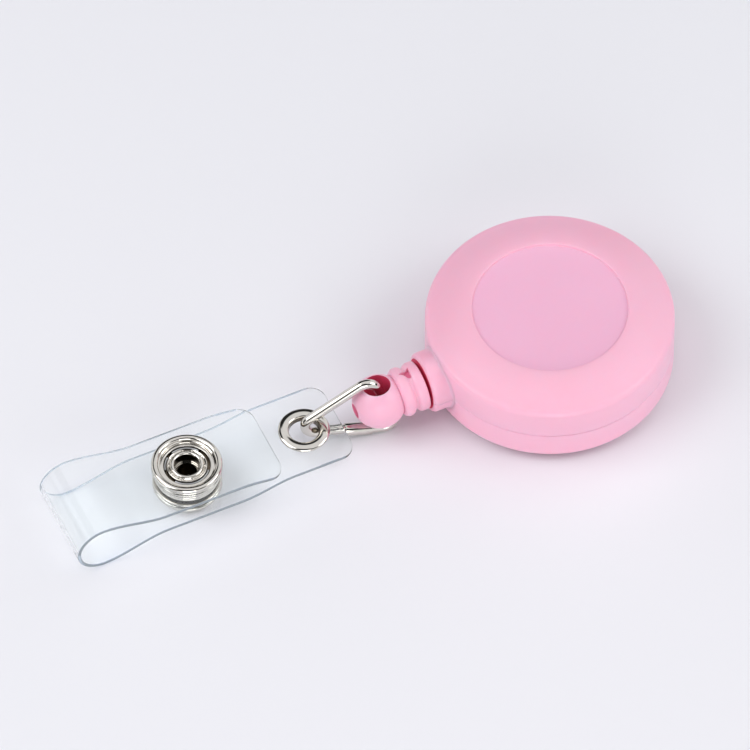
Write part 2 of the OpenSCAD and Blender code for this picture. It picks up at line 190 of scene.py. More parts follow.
def lathe(bm, profile, matrix=Matrix(), segments=128, closed=True):
    """Turns a profile of (radius, height) points about Z."""
    rows = []
    for r, z in profile:
        if r < 1e-9:
            rows.append([bm.verts.new(matrix @ Vector((0, 0, z)))])
            continue
        angles = [TAU * k / segments for k in range(segments)]
        rows.append([bm.verts.new(matrix @ Vector((r * math.cos(a), r * math.sin(a), z))) for a in angles])
    count = len(rows) if closed else len(rows) - 1
    for i in range(count):
        join_rows(bm, rows[i], rows[(i + 1) % len(rows)])


def join_rows(bm, a, b):
    """Faces between two rings of vertices, either of which may be a single point."""
    n = max(len(a), len(b))
    if n == 1:
        return
    for k in range(n):
        m = (k + 1) % n
        corners = [a[k % len(a)], a[m % len(a)], b[m % len(b)], b[k % len(b)]]
        corners = [v for i, v in enumerate(corners) if v not in corners[:i]]
        if len(corners) > 2:
            bm.faces.new(corners)


def sweep(bm, path, radius, sides, up=Vector((0, 0, 1))):
    """A round rod swept along a path, with flat ends."""
    rows = []
    last = len(path) - 1
    for i, p in enumerate(path):
        ahead = (path[min(i + 1, last)] - path[max(i - 1, 0)]).normalized()
        side = up.cross(ahead).normalized()
        over = ahead.cross(side)
        ring = []
        for k in range(sides):
            a = TAU * k / sides
            ring.append(bm.verts.new(p + side * (radius * math.cos(a)) + over * (radius * math.sin(a))))
        rows.append(ring)
    for a, b in zip(rows, rows[1:]):
        join_rows(bm, a, b)
    bm.faces.new(rows[0])
    bm.faces.new(rows[-1])


def bend_points(a, p, b, r, n=12):
    """Points of a round bend of radius r at p, between straights that come from a and go to b."""
    u = (a - p).normalized()
    v = (b - p).normalized()
    corner = math.acos(max(-1, min(1, u.dot(v))))
    centre = p + (u + v).normalized() * (r / math.sin(corner / 2))
    out = -(u + v).normalized()
    side = (v - u).normalized()
    turn = math.pi - corner
    steps = [turn * (i / n - 0.5) for i in range(n + 1)]
    return [centre + r * (out * math.cos(t) + side * math.sin(t)) for t in steps]


def boolean_cut(obj, cutter):
    """Takes cutter out of obj, and deletes it."""
    modifier = obj.modifiers.new("cut", "BOOLEAN")
    modifier.operation = "DIFFERENCE"
    modifier.solver = "EXACT"
    modifier.object = cutter
    apply_modifiers(obj)
    bpy.data.objects.remove(cutter)


def apply_modifiers(obj):
    """Makes the modifiers' result the object's own mesh."""
    bpy.context.view_layer.update()
    evaluated = obj.evaluated_get(bpy.context.evaluated_depsgraph_get())
    mesh = bpy.data.meshes.new_from_object(evaluated)
    old = obj.data
    obj.modifiers.clear()
    obj.data = mesh
    bpy.data.meshes.remove(old)


def smoothstep(t):
    """0 to 1, level at both ends."""
    t = max(0.0, min(1.0, t))
    return t * t * (3 - 2 * t)


def finish_piece(obj, body, material, nodes=()):
    """Gives a piece its material and slot, lets it ride, and hides the CAD nodes that it stands for."""
    obj.data.materials.clear()
    obj.data.materials.append(material)
    if body:
        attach(obj, body)
    if nodes:
        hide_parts(*nodes)
    return obj


# ---- Materials ----

class Nodes:
    """A material's node tree, with short ways to add what these materials are made of."""

    def __init__(self, name):
        self.material = bpy.data.materials.new(name)
        self.material.use_nodes = True
        self.tree = self.material.node_tree
        self.tree.nodes.clear()
        self.out = self.add("ShaderNodeOutputMaterial")
        self.shader = self.add("ShaderNodeBsdfPrincipled")
        self.link(self.shader.outputs["BSDF"], self.out.inputs["Surface"])
        self.coords = self.add("ShaderNodeTexCoord").outputs["Object"]

    def add(self, kind, **values):
        node = self.tree.nodes.new(kind)
        for key, value in values.items():
            setattr(node, key, value)
        return node

    def link(self, a, b):
        self.tree.links.new(a, b)

    def set(self, **values):
        """Constants on the shader's sockets, with _ for a space."""
        for key, value in values.items():
            self.shader.inputs[key.replace("_", " ")].default_value = value

    def mapped(self, scale):
        """Object coordinates scaled along X, Y and Z."""
        node = self.add("ShaderNodeMapping")
        node.inputs["Scale"].default_value = scale
        self.link(self.coords, node.inputs["Vector"])
        return node.outputs["Vector"]

    def noise(self, per_mm, detail, roughness, vector=None, distortion=0.0):
        """Noise from 0 to 1, with so many features in a millimetre."""
        node = self.add("ShaderNodeTexNoise")
        node.inputs["Scale"].default_value = per_mm / MM
        node.inputs["Detail"].default_value = detail
        node.inputs["Roughness"].default_value = roughness
        node.inputs["Distortion"].default_value = distortion
        self.link(vector or self.coords, node.inputs["Vector"])
        return node.outputs["Fac"]

    def ranged(self, value, low, high, from_low=0.3, from_high=0.7):
        """A value spread from low to high."""
        node = self.add("ShaderNodeMapRange")
        node.inputs["From Min"].default_value = from_low
        node.inputs["From Max"].default_value = from_high
        node.inputs["To Min"].default_value = low
        node.inputs["To Max"].default_value = high
        self.link(value, node.inputs["Value"])
        return node.outputs["Result"]

    def ramp(self, value, *stops):
        """A colour from stops of (place, colour)."""
        node = self.add("ShaderNodeValToRGB")
        elements = node.color_ramp.elements
        while len(elements) < len(stops):
            elements.new(0.5)
        for element, (place, colour) in zip(elements, stops):
            element.position = place
            element.color = (*colour, 1)
        self.link(value, node.inputs["Fac"])
        return node.outputs["Color"]

    def colour(self, value):
        self.link(value, self.shader.inputs["Base Color"])

    def rough(self, value):
        self.link(value, self.shader.inputs["Roughness"])

    def bump(self, *layers):
        """Layers of (height, depth in mm), one bump on another."""
        normal = None
        for height, depth in layers:
            node = self.add("ShaderNodeBump")
            node.inputs["Strength"].default_value = 1.0
            node.inputs["Distance"].default_value = depth * MM
            self.link(height, node.inputs["Height"])
            if normal:
                self.link(normal, node.inputs["Normal"])
            normal = node.outputs["Normal"]
        self.link(normal, self.shader.inputs["Normal"])


def srgb(r, g, b):
    """Linear colour from 0-255 sRGB."""
    return tuple((c / 255 / 12.92) if c <= 10 else ((c / 255 + 0.055) / 1.055) ** 2.4 for c in (r, g, b))


# How far red, green and blue light spread inside the pink plastic, as shares of the scale
PINK_SPREAD = (1.0, 0.3, 0.38)
# The tint that light takes on inside the clear vinyl, and the one that its shadow lets through
VINYL_DEPTH = (165, 205, 235)
VINYL_SHADOW = (0.985, 0.987, 0.99, 1)


def pink_plastic():
    """Glossy moulded plastic, slightly translucent: soft pink, faint flow marks and a slight orange peel."""
    m = Nodes("pink_plastic")
    cloud = m.noise(0.05, 3, 0.5)
    m.colour(m.ramp(cloud, (0.3, srgb(244, 183, 205)), (0.7, srgb(246, 188, 211))))
    m.rough(m.ranged(m.noise(0.15, 2, 0.5), 0.29, 0.34))
    m.bump((m.noise(0.12, 1, 0.4), 0.004), (m.noise(9.0, 1, 0.5), 0.00004))
    m.set(IOR=1.5, Subsurface_Weight=0.4, Subsurface_Scale=1.0 * MM)
    m.shader.inputs["Subsurface Radius"].default_value = PINK_SPREAD
    return m.material


def recess_pink():
    """The finely textured floor of the recess, a little duller and cooler than the rest."""
    m = Nodes("recess_pink_plastic")
    cloud = m.noise(0.06, 3, 0.5)
    m.colour(m.ramp(cloud, (0.3, srgb(239, 180, 208)), (0.7, srgb(241, 185, 212))))
    m.rough(m.ranged(m.noise(0.4, 3, 0.5), 0.5, 0.56))
    m.bump((m.noise(6.0, 2, 0.5), 0.0008))
    m.set(IOR=1.45, Subsurface_Weight=0.3, Subsurface_Scale=1.0 * MM)
    m.shader.inputs["Subsurface Radius"].default_value = PINK_SPREAD
    return m.material


def shaded_pink(name, low, high):
    """The same plastic, painted darker as painted shade and painted glow inside holes and narrow gaps, where
    light reaches it mostly through the plastic.
    """
    m = Nodes(name)
    cloud = m.noise(0.3, 3, 0.5)
    m.colour(m.ramp(cloud, (0.3, low), (0.7, high)))
    m.rough(m.ranged(m.noise(0.8, 3, 0.5), 0.45, 0.6))
    m.bump((m.noise(2.0, 3, 0.5), 0.001))
    m.set(IOR=1.45, Specular_IOR_Level=0.25)
    return m.material


def nickel(name, tone, rough_low, rough_high, brushed=False):
    """Bright plated metal with fine polishing lines and faint handling haze."""
    m = Nodes(name)
    haze = m.noise(0.5, 4, 0.6)
    warm = tuple(c * 0.9 for c in tone)
    m.colour(m.ramp(haze, (0.3, warm), (0.7, tone)))
    m.rough(m.ranged(m.noise(1.8, 5, 0.65), rough_low, rough_high))
    stretch = (1, 14, 14) if brushed else (6, 6, 6)
    lines = m.noise(1.1, 4, 0.7, vector=m.mapped(stretch))
    m.bump((lines, 0.002 if brushed else 0.0008))
    m.set(Metallic=1.0)
    return m.material


def white_plastic():
    """The spool's off-white moulding."""
    m = Nodes("white_plastic")
    m.colour(m.ramp(m.noise(0.12, 4, 0.5), (0.3, srgb(226, 223, 215)), (0.7, srgb(236, 234, 228))))
    m.rough(m.ranged(m.noise(1.5, 4, 0.6), 0.42, 0.55))
    m.bump((m.noise(5.0, 3, 0.6), 0.003))
    m.set(IOR=1.5)
    return m.material


def braided_cord():
    """Tight braid: two crossing diagonal ribs along the cord, in nylon."""
    m = Nodes("pink_cord")
    strands = []
    for lean in (1, -1):
        wave = m.add("ShaderNodeTexWave", wave_type="BANDS", bands_direction="DIAGONAL")
        wave.inputs["Scale"].default_value = 0.55 / MM
        wave.inputs["Distortion"].default_value = 0.6
        m.link(m.mapped((1, lean, 1)), wave.inputs["Vector"])
        strands.append(wave.outputs["Fac"])
    braid = m.add("ShaderNodeMath", operation="MAXIMUM")
    m.link(strands[0], braid.inputs[0])
    m.link(strands[1], braid.inputs[1])
    m.colour(m.ramp(braid.outputs["Value"], (0.2, srgb(196, 104, 140)), (0.8, srgb(243, 178, 204))))
    m.rough(m.ranged(m.noise(4.0, 3, 0.6), 0.5, 0.7))
    m.bump((braid.outputs["Value"], 0.05), (m.noise(12.0, 3, 0.6), 0.006))
    m.set(Sheen_Weight=0.4, Sheen_Roughness=0.4)
    return m.material


def vinyl(name, tint, haze, density):
    """Clear flexible vinyl: a hint of blue in its depth, slightly wavy, with faint rubbed streaks."""
    m = Nodes(name)
    rub = m.noise(0.35, 5, 0.7, vector=m.mapped((0.35, 2.4, 1)), distortion=0.6)
    m.rough(m.ranged(rub, 0.0, 0.045, 0.5, 0.8))
    pale = tuple(min(1, c * 1.03) for c in tint)
    m.colour(m.ramp(m.noise(0.05, 2, 0.5), (0.3, tint), (0.7, pale)))
    m.bump((m.noise(0.12, 2, 0.4), 0.03), (m.noise(2.0, 2, 0.5), 0.0003))
    m.set(IOR=1.42, Transmission_Weight=1 - haze)
    depth = m.add("ShaderNodeVolumeAbsorption")
    depth.inputs["Color"].default_value = (*srgb(*VINYL_DEPTH), 1)
    depth.inputs["Density"].default_value = density
    m.link(depth.outputs["Volume"], m.out.inputs["Volume"])
    see_through = m.add("ShaderNodeBsdfTransparent")
    see_through.inputs["Color"].default_value = VINYL_SHADOW
    mix = m.add("ShaderNodeMixShader")
    rays = m.add("ShaderNodeLightPath")
    m.link(rays.outputs["Is Shadow Ray"], mix.inputs[0])
    m.link(m.shader.outputs["BSDF"], mix.inputs[1])
    m.link(see_through.outputs["BSDF"], mix.inputs[2])
    m.link(mix.outputs["Shader"], m.out.inputs["Surface"])
    return m.material


PINK = pink_plastic()
# Painted shade: a darker, deeper pink that stands for the shade and the glow through the plastic in the
# collar's mouth and in the fitting's holes and end face
GAP_SHADE_PINK = shaded_pink("painted_gap_shade_pink", srgb(212, 58, 96), srgb(228, 74, 112))
# Painted shade: a mid pink that stands for the shade in the fitting's top notch and in the hole in the ball's
# end
NOTCH_SHADE_PINK = shaded_pink("painted_notch_shade_pink", srgb(240, 134, 168), srgb(244, 142, 176))
RECESS_PINK = recess_pink()
NICKEL = nickel("nickel_plate", (0.71, 0.68, 0.63), 0.05, 0.11)
SHADED_NICKEL = nickel("shaded_nickel", (0.15, 0.125, 0.095), 0.16, 0.26)
STEEL = nickel("spring_steel", (0.62, 0.63, 0.65), 0.29, 0.40, brushed=True)
WHITE = white_plastic()
CORD = braided_cord()
VINYL = vinyl("clear_vinyl", srgb(248, 250, 250), 0.02, 3.5)
VINYL_EDGE = vinyl("clear_vinyl_edge", srgb(222, 234, 241), 0.35, 9)


# ---- Camera, light and floor ----

# Azimuth and elevation of the camera, in degrees
CAMERA_AT = (-25, 54)
LENS = 600
# Width of what the camera sees, at the object
VIEW_WIDTH = 95.9 * MM
# From the middle of the CAD box to what the camera aims at
AIM_SHIFT = Vector((3.1, 3.2, 0.5)) * MM
LIGHT_CENTRE = Vector((-25, 0, 5)) * MM
FLOOR_DROP = 0.02 * MM
LIGHTS = {
    # name: (place from the lights' centre, size, power, colour)
    "left_box": ((-0.46, 0.10, 0.48), 0.50, 1.75, (0.98, 0.99, 1.0)),
    "right_box": ((0.46, -0.25, 0.42), 0.36, 1.0, (1.0, 0.99, 0.98)),
    "front_low": ((-0.22, -0.60, 0.20), 0.40, 1.1, (1.0, 1.0, 1.0)),
}
WORLD_STRENGTH = 0.96
# Dark parts of the room: azimuth and elevation in degrees, and the cosine of each one's half-width
DARK_PLACES = (
    (-25, 50, 0.90),
    (-105, 16, 0.93),
    (70, 12, 0.93),
    (165, 24, 0.87),
    (-60, 28, 0.955),
    (16, 42, 0.955),
    (-150, 40, 0.95),
)
# How far each dark part fades out, as a cosine, and the light that is left in it
DARK_EDGE = 0.03
DARK_LEVEL = 0.03
ROOM_TINT = (0.975, 0.98, 1.0, 1)


def direction(azimuth, elevation):
    """The unit vector towards a place, from its azimuth and elevation in degrees."""
    a = math.radians(azimuth)
    e = math.radians(elevation)
    return Vector((math.sin(a) * math.cos(e), -math.cos(a) * math.cos(e), math.sin(e)))


def build_stage():
    """The photo's camera, a pale paper floor, three soft lights and the room."""
    scene = bpy.context.scene
    back = direction(*CAMERA_AT)
    camera = bpy.data.objects.new("camera", bpy.data.cameras.new("camera"))
    scene.collection.objects.link(camera)
    scene.camera = camera
    camera.data.lens = LENS
    camera.data.clip_start = 0.01
    camera.data.clip_end = 10
    middle = (CAD_BOX[0] + CAD_BOX[1]) / 2
    aim = middle + AIM_SHIFT
    distance = LENS / camera.data.sensor_width * VIEW_WIDTH
    camera.location = aim + back * distance
    camera.rotation_euler = back.to_track_quat("Z", "Y").to_euler()

    floor_bm = bmesh.new()
    bmesh.ops.create_grid(floor_bm, x_segments=8, y_segments=8, size=1.5)
    floor = new_object("floor", floor_bm)
    floor.location.z = -FLOOR_DROP
    m = Nodes("floor_paper")
    m.colour(m.ramp(m.noise(0.004, 3, 0.5), (0.3, srgb(233, 233, 238)), (0.7, srgb(236, 235, 240))))
    m.rough(m.ranged(m.noise(1.0, 3, 0.5), 0.55, 0.65))
    floor.data.materials.append(m.material)

    for name, (place, size, power, tint) in LIGHTS.items():
        area_light(name, place, size, power, tint)
    build_world(scene)
    scene.view_settings.view_transform = "Standard"


def build_world(scene):
    """A pale room with a few dark places, which is what shiny metal shows."""
    world = bpy.data.worlds.new("studio")
    scene.world = world
    world.use_nodes = True
    tree = world.node_tree
    background = tree.nodes["Background"]
    background.inputs["Strength"].default_value = WORLD_STRENGTH
    coords = tree.nodes.new("ShaderNodeTexCoord").outputs["Generated"]
    darkest = None
    for azimuth, elevation, reach in DARK_PLACES:
        dot = tree.nodes.new("ShaderNodeVectorMath")
        dot.operation = "DOT_PRODUCT"
        dot.inputs[1].default_value = direction(azimuth, elevation)
        tree.links.new(coords, dot.inputs[0])
        spot = tree.nodes.new("ShaderNodeMapRange")
        spot.interpolation_type = "SMOOTHSTEP"
        spot.inputs["From Min"].default_value = reach
        spot.inputs["From Max"].default_value = reach + DARK_EDGE
        spot.inputs["To Min"].default_value = 1.0
        spot.inputs["To Max"].default_value = DARK_LEVEL
        tree.links.new(dot.outputs["Value"], spot.inputs["Value"])
        if darkest is None:
            darkest = spot.outputs["Result"]
            continue
        both = tree.nodes.new("ShaderNodeMath")
        both.operation = "MULTIPLY"
        tree.links.new(darkest, both.inputs[0])
        tree.links.new(spot.outputs["Result"], both.inputs[1])
        darkest = both.outputs["Value"]
    ramp = tree.nodes.new("ShaderNodeValToRGB")
    ramp.color_ramp.elements[0].color = (0, 0, 0, 1)
    ramp.color_ramp.elements[1].color = ROOM_TINT
    tree.links.new(darkest, ramp.inputs["Fac"])
    tree.links.new(ramp.outputs["Color"], background.inputs["Color"])


def area_light(name, place, size, power, colour):
    """A square soft light that points at the lights' centre."""
    light = bpy.data.lights.new(name, "AREA")
    light.size = size
    light.energy = power
    light.color = colour
    obj = bpy.data.objects.new(name, light)
    bpy.context.scene.collection.objects.link(obj)
    obj.location = LIGHT_CENTRE + Vector(place)
    obj.rotation_euler = Vector(place).to_track_quat("Z", "Y").to_euler()


# ---- Case ----

def collar_profile(angle):
    """The collar's outer line at one angle about the cord, as (distance from the cord's axis, x)."""
    lip = 0.6 * MM
    flare = 0.3 * MM
    line = [(r, -x) for r, x in arc(COLLAR_R - lip, -COLLAR_X - lip, lip, 90, 0, 8)]
    for i in range(9):
        t = math.radians(90 * i / 8)
        rho = COLLAR_R + flare * (1 - math.cos(t))
        across = rho * math.cos(angle)
        x = -math.sqrt(CASE_R ** 2 - across ** 2) - flare * (1 - math.sin(t))
        line.append((rho, x))
    return line


def collar_half(bm, above):
    """The half of the collar above or below the seam, ending just inside the case wall."""
    steps = 40
    tuck = 0.8 * MM
    mouth_r = 0.5 * MM
    turns = [math.radians(a) for a in (0, 22, 45, 67, 90)]
    mouth = [(BORE_R + mouth_r * (1 - math.cos(a)), COLLAR_X + mouth_r * (1 - math.sin(a))) for a in turns]
    rows = []
    for k in range(steps + 1):
        angle = math.pi * k / steps * (1 if above else -1)
        outer = collar_profile(angle)
        tucked = (outer[-1][0] - 0.25 * MM, outer[-1][1] + tuck)
        line = [(BORE_R, tucked[1])] + mouth + outer + [tucked]
        groove = SEAM_GROOVE if k in (0, steps) else 0
        row = []
        for rho, x in line:
            y = rho * math.cos(angle)
            z = SEAM_Z + rho * math.sin(angle) + (groove if above else -groove)
            row.append(bm.verts.new((x, y, z)))
        rows.append(row)
    for a, b in zip(rows, rows[1:]):
        join_rows(bm, a, b)
    for row in (rows[0], rows[-1]):
        bm.faces.new(row)


def crown_curve(x0, z0, x1, z1):
    """The gently domed top, from the rim up to the recess, level where it ends."""
    points = []
    for i in range(1, 9):
        t = i / 9
        points.append((x0 + (x1 - x0) * t, z0 + (z1 - z0) * math.sin(t * math.pi / 2)))
    return points


def mark_faces(obj, material, test):
    """Gives the faces whose centre passes a test another material."""
    obj.data.materials.append(material)
    index = len(obj.data.materials) - 1
    for polygon in obj.data.polygons:
        if test(polygon.center):
            polygon.material_index = index


def in_collar_mouth(at):
    """True inside the collar and on the flat of its mouth."""
    off_axis = math.hypot(at.y, at.z - SEAM_Z)
    return at.x < -CASE_R + 2 * MM and off_axis < COLLAR_R - 0.55 * MM and (
        off_axis < 1.2 * MM or at.x < COLLAR_X + 0.05 * MM)


def on_recess_floor(at):
    """True on the floor of the label recess."""
    return math.hypot(at.x, at.y) < RECESS_R - 0.1 * MM and abs(at.z - (TOP_Z - RECESS_DEPTH)) < 0.01 * MM


def build_front_case():
    """The domed front shell with its label recess, its half of the collar and the boss that caps the post."""
    rim = 0.9 * MM
    rim_z = TOP_Z - CROWN
    inner = CASE_R - WALL
    edge = SOFT_EDGE
    seam = SEAM_Z + SEAM_GROOVE
    join = inner + JOIN_W + JOIN_PLAY
    join_z = SEAM_Z + JOIN_H + JOIN_PLAY
    recess_z = TOP_Z - RECESS_DEPTH
    ceiling_z = recess_z - FLOOR_T
    crown_line = crown_curve(CASE_R - rim, rim_z, RECESS_R + edge, TOP_Z)
    profile = (
        [(join, seam), (CASE_R - edge, seam)]
        + arc(CASE_R - edge, seam + edge, edge, -60, 0, 4)
        + arc(CASE_R - rim, rim_z - rim, rim, 0, 76, 10)
        + crown_line
        + arc(RECESS_R + edge, TOP_Z - edge, edge, 90, 180, 5)
        + arc(RECESS_R - edge, recess_z + edge, edge, 0, -90, 5)
        + [(RECESS_R * 0.66, recess_z), (RECESS_R * 0.33, recess_z), (0, recess_z)]
        + [(0, ceiling_z), (RECESS_R, ceiling_z), (inner - MM, rim_z - FLOOR_T)]
        + arc(inner - MM, rim_z - FLOOR_T - MM, MM, 90, 0, 6)
        + [(inner, join_z), (join, join_z)])
    bm = bmesh.new()
    lathe(bm, profile, segments=256)
    case = new_object("front_shell", bm, 40)
    cut_passage(case)
    add_part(case, lambda b: collar_half(b, True))
    boss_in = 2.1 * MM
    boss_out = 3.4 * MM
    boss = (
        arc(boss_in + 0.05 * MM, ceiling_z - 0.6 * MM, 0.05 * MM, 180, 270, 3)
        + arc(boss_out - 0.1 * MM, ceiling_z - 0.55 * MM, 0.1 * MM, 270, 360, 3)
        + [(boss_out, ceiling_z + 0.1 * MM), (boss_in, ceiling_z + 0.1 * MM)])
    add_part(case, lambda b: lathe(b, boss, segments=64))
    finish_piece(case, "reel", PINK, ["front_case"])
    # Painted shade: the inside of the collar and the flat of its mouth get the darker pink
    mark_faces(case, GAP_SHADE_PINK, in_collar_mouth)
    mark_faces(case, RECESS_PINK, on_recess_floor)


def build_back_case():
    """The back shell with its lip, its half of the collar and the slotted post that the spool turns on."""
    rounding = 1.2 * MM
    hollow = 0.6 * MM
    inner = CASE_R - WALL
    edge = SOFT_EDGE
    lip = SEAM_Z + JOIN_H
    seam = SEAM_Z - SEAM_GROOVE
    floor_z = BASE_Z + FLOOR_T
    profile = (
        [(0, BASE_Z), (CASE_R * 0.5, BASE_Z)]
        + arc(CASE_R - rounding, BASE_Z + rounding, rounding, -90, 0, 14)
        + arc(CASE_R - edge, seam - edge, edge, 0, 60, 4)
        + [(CASE_R - edge, seam), (inner + JOIN_W, seam), (inner + JOIN_W, lip), (inner, lip)]
        + [(inner, floor_z + hollow)]
        + arc(inner - hollow, floor_z + hollow, hollow, 0, -90, 5)
        + [(0, floor_z)])
    bm = bmesh.new()
    lathe(bm, profile, segments=256)
    case = new_object("back_shell", bm, 40)
    cut_passage(case)
    add_part(case, lambda b: collar_half(b, False))
    build_post()
    finish_piece(case, "reel", PINK, ["back_case"])
    # Painted shade: the inside of the collar and the flat of its mouth get the darker pink
    mark_faces(case, GAP_SHADE_PINK, in_collar_mouth)


def build_post():
    """The post, slotted for the power spring's inner end."""
    radius = 2.0 * MM
    round_top = 0.2 * MM
    top = back_hi.z
    foot = BASE_Z + FLOOR_T / 2
    slot_half = (0.25 * MM, 3 * MM, top - BASE_Z - 2.2 * MM)
    post = (
        [(0, foot), (radius, foot)]
        + arc(radius - round_top, top - round_top, round_top, 0, 90, 4)
        + [(0, top)])
    bm = bmesh.new()
    lathe(bm, post, segments=64)
    arbor = new_object("arbor_post", bm)
    boolean_cut(arbor, box_object("slot", (0, 0, top), slot_half))
    shade(arbor)
    finish_piece(arbor, "reel", PINK)


def box_object(name, centre, half):
    """A cutting box, from its centre and its half sizes."""
    bm = bmesh.new()
    bmesh.ops.create_cube(bm, size=2)
    bmesh.ops.scale(bm, vec=half, verts=bm.verts)
    bmesh.ops.translate(bm, vec=centre, verts=bm.verts)
    return new_object(name, bm)


def cut_passage(case):
    """Opens the wall where the cord leaves, inside the collar."""
    bm = bmesh.new()
    r = 3.0 * MM
    near = CASE_R - 4 * MM
    far = CASE_R + MM
    turned = Matrix.Translation((0, 0, SEAM_Z)) @ ALONG_MINUS_X
    profile = [(0, near), (r, near), (r, far), (0, far)]
    lathe(bm, profile, turned, segments=48)
    boolean_cut(case, new_object("passage", bm))
    shade(case, 40)


def add_part(obj, build):
    """Adds another closed shell to a piece's mesh."""
    bm = bmesh.new()
    build(bm)
    extra = new_object(obj.name + "_extra", bm, 40)
    joined = bmesh.new()
    joined.from_mesh(obj.data)
    joined.from_mesh(extra.data)
    joined.to_mesh(obj.data)
    joined.free()
    bpy.data.objects.remove(extra)


build_front_case()
build_back_case()


# ---- End fitting ----

def fitting_matrix():
    """From the fitting's own frame, its bore along +X, to where it lies."""
    lift = Matrix.Rotation(-math.asin(FIT_AXIS.z), 4, "Y")
    roll = Matrix.Rotation(FIT_ROLL, 4, "X")
    return Matrix.Translation(BALL_C) @ lift @ roll


def build_fitting():
    """Ball and two fat grip rings as one turned moulding, with its cross hole, bore and small top notch."""
    first = (2.4 * MM, 4.12 * MM)
    second = (4.28 * MM, 5.9 * MM)
    fat = 0.8 * MM
    slim = 0.35 * MM
    valley = 2.8 * MM
    crease = 27
    contact = math.degrees(math.acos((first[0] + 0.1 * MM) / BALL_R))
    line = [(r, z) for z, r in arc(0, 0, BALL_R, 180, contact, 40)]
    line[0] = (0, line[0][1])
    line += [(r, z) for z, r in arc(first[0] + fat, GRIP_R - fat, fat, 170, 90, 8)]
    line += [(r, z) for z, r in arc(first[1] - fat, GRIP_R - fat, fat, 90, crease, 8)]
    line += [(valley, first[1]), (valley, second[0])]
    line += [(r, z) for z, r in arc(second[0] + fat, GRIP_R - fat, fat, 180 - crease, 90, 8)]
    line += [(r, z) for z, r in arc(second[1] - slim, GRIP_R - slim, slim, 90, 0, 7)]
    line += [(0, second[1])]
    bm = bmesh.new()
    lathe(bm, line, ALONG_X, closed=False)
    fitting = new_object("cord_end_ball", bm)
    boolean_cut(fitting, notch_tool())
    boolean_cut(fitting, turned_tool("hole", HOLE_R, -5 * MM, 5 * MM, Matrix()))
    boolean_cut(fitting, turned_tool("bore", BORE_R, 0, 8 * MM, ALONG_X))
    boolean_cut(fitting, turned_tool("tip", TIP_R, 0, 8 * MM, ALONG_MINUS_X))
    boolean_cut(fitting, turned_tool("pocket", POCKET_R, 0, 3.4 * MM, ALONG_X))
    soften(fitting, SOFT_EDGE, 3)
    fitting.data.transform(fitting_matrix())
    shade(fitting, 40)
    finish_piece(fitting, "fitting", PINK, ["cord_end_fitting"])
    fitting.data.materials.append(GAP_SHADE_PINK)
    fitting.data.materials.append(NOTCH_SHADE_PINK)
    inverse = fitting_matrix().inverted()
    turn = inverse.to_3x3()
    for polygon in fitting.data.polygons:
        at = inverse @ polygon.center
        normal = turn @ polygon.normal
        # Painted shade: the cross hole, the bore and the end face towards the collar get the darker pink
        if is_sunk(at, normal, second[1]):
            polygon.material_index = 1
        # Painted shade: the top notch and the hole in the ball's end get the mid pink
        elif in_notch(at) or in_tip_hole(at, normal):
            polygon.material_index = 2


def in_tip_hole(at, normal):
    """True on the wall of the small hole in the ball's end."""
    return at.x < 0 and math.hypot(at.y, at.z) < TIP_R + 0.1 * MM and abs(normal.x) < 0.3


def in_notch(at):
    """True on the walls and the floor of the top notch, below the grip rings' surface."""
    off_axis = math.hypot(at.y, at.z)
    across = abs(at.y) < 1.0 * MM and at.z > 0
    return across and abs(at.x - 4.2 * MM) < 0.9 * MM and off_axis < 2.7 * MM


def is_sunk(at, normal, end):
    """True in the cross hole, in the bore and on the face towards the collar."""
    in_cross_hole = math.hypot(at.x, at.y) < HOLE_R + 0.06 * MM and abs(normal.z) < 0.3
    off_axis = math.hypot(at.y, at.z)
    in_bore = at.x > 0 and off_axis < POCKET_R + 0.15 * MM and abs(normal.x) < 0.3
    end_face = at.x > end - 0.06 * MM
    return in_cross_hole or in_bore or end_face


def notch_tool():
    """A small three-sided wedge between the rings, at the top."""
    place = Matrix.Translation((4.12 * MM, 0, 0)) @ Matrix.Rotation(math.radians(55), 4, "Z")
    r = 1.0 * MM
    bottom = 2.35 * MM
    top = 5.0 * MM
    bm = bmesh.new()
    lathe(bm, [(0, bottom), (r, bottom), (r, top), (0, top)], place, segments=3)
    return new_object("notch", bm)


def turned_tool(name, r, start, end, matrix):
    """A drill of radius r from start to end along its axis."""
    bm = bmesh.new()
    lathe(bm, [(0, start), (r, start), (r, end), (0, end)], matrix, segments=64)
    return new_object(name, bm)


def soften(obj, width, segments):
    """Rounds the sharp edges that cuts leave."""
    modifier = obj.modifiers.new("round", "BEVEL")
    modifier.width = width
    modifier.segments = segments
    modifier.limit_method = "ANGLE"
    modifier.angle_limit = math.radians(40)
    apply_modifiers(obj)


build_fitting()


# ---- Cord ----

def bore_point(d):
    """A point on the fitting's axis, so far from the ball's centre towards the case."""
    return BALL_C + FIT_AXIS * d


def build_cord():
    """The cord from inside the case to its knot."""
    overlap = 0.4 * MM
    lead_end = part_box("cord_lead")[0].x
    start = Vector((lead_end + overlap, 0, SEAM_Z))
    mouth = bore_point(5.8 * MM)
    knot = bore_point(2.9 * MM)
    path = [start + (mouth - start) * smoothstep(i / 10) for i in range(11)] + [
        mouth + (knot - mouth) * (i / 6) for i in range(1, 7)]
    bm = bmesh.new()
    sweep(bm, path, CORD_R, 16)
    cord = new_object("cord_run", bm, 60)
    finish_piece(cord, None, CORD)
    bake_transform(cord)
    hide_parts("cord_span")


build_cord()


# ---- Wire ring ----

def ring_corners():
    """The three corners that the ring's straights would meet at."""
    low = low_corner()
    return tangent_corner(TOP_CORNER, low), TOP_CORNER, low


def low_corner():
    """The ring's low corner: down its own axis from the top one, then out under the ball as in the photo."""
    drop = (TOP_CORNER.z - WIRE_R) / RING_AXIS.z
    low = TOP_CORNER - RING_AXIS * drop
    return low + (low - EYELET_BEND).normalized() * LOW_CORNER_REACH


